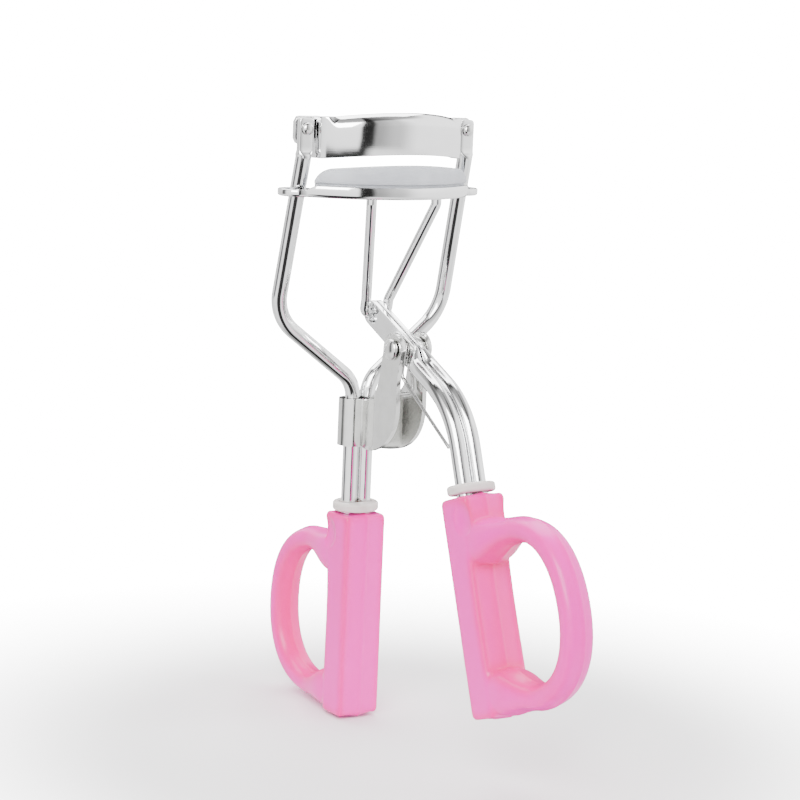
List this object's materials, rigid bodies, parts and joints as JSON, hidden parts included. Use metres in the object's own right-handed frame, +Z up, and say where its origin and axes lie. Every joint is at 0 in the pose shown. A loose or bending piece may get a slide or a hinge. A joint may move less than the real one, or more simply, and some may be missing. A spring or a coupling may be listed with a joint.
{
  "type": "eyelash curler",
  "caption": "Hand-held eyelash curler: curved jaws on a bent wire frame, a sprung lever, a push wire and two looped plastic handles.",
  "frame": {"origin": "under the middle of the open curler's bounding box, level with the end of the frame handle", "axes": "+Z up along the frame handle towards the jaws, -Y towards the lever and the bulging side of the jaws, X along the pivot rivet and the width of the jaws"},
  "size_m": [0.0442, 0.1014, 0.119],
  "materials": {
    "bright_wire": "bright nickel-chrome plate on drawn wire",
    "bright_plate": "mirror-bright plated sheet",
    "bracket_steel": "bright rolled sheet, slightly satin",
    "rivet_steel": "satin domed rivet",
    "spring_steel": "plain spring wire",
    "pad_silicone": "translucent white-grey silicone, matt",
    "collar_plastic": "translucent milky plastic",
    "handle_plastic": "pearlescent translucent pink, soft gloss"
  },
  "bodies": {
    "frame": {"frame_rod_left": "bright_wire", "frame_rod_right": "bright_wire", "upper_jaw_plate": "bright_plate", "upper_jaw_rivet_left": "rivet_steel", "upper_jaw_rivet_right": "rivet_steel", "pivot_bracket": "bracket_steel", "pivot_rivet": "rivet_steel", "return_spring": "spring_steel", "frame_handle": "handle_plastic", "frame_collar": "collar_plastic"},
    "lever": {"lever_rod_left": "bright_wire", "lever_rod_right": "bright_wire", "lever_collar": "collar_plastic", "lever_handle": "handle_plastic"},
    "lower_jaw": {"lower_jaw_tray": "bright_plate", "lower_jaw_pad": "pad_silicone"},
    "push_wire": {"push_wire": "bright_wire"}
  },
  "joints": [
    {"name": "lever_pivot", "type": "hinge", "parent": "frame", "child": "lever", "pos_m": [0, 0.00728, 0.075], "axis": [1, 0, 0], "range_deg": [-20, 8], "stiffness_Nm_per_rad": 0.3, "deforming": ["return_spring"]},
    {"name": "lower_jaw_slide", "type": "slide", "parent": "frame", "child": "lower_jaw", "axis": [0, -0.2193, 0.9757], "range_m": [-0.0044, 0.0018]},
    {"name": "push_wire_swing", "type": "hinge", "parent": "lower_jaw", "child": "push_wire", "pos_m": [0, 0.01058, 0.1032], "axis": [1, 0, 0], "range_deg": [-0.6, 1.3]}
  ],
  "couplings": [
    {"joint": "lower_jaw_slide", "follows": "lever_pivot", "m_per_rad": 0.0125},
    {"joint": "push_wire_swing", "follows": "lever_pivot", "ratio": -0.06}
  ]
}
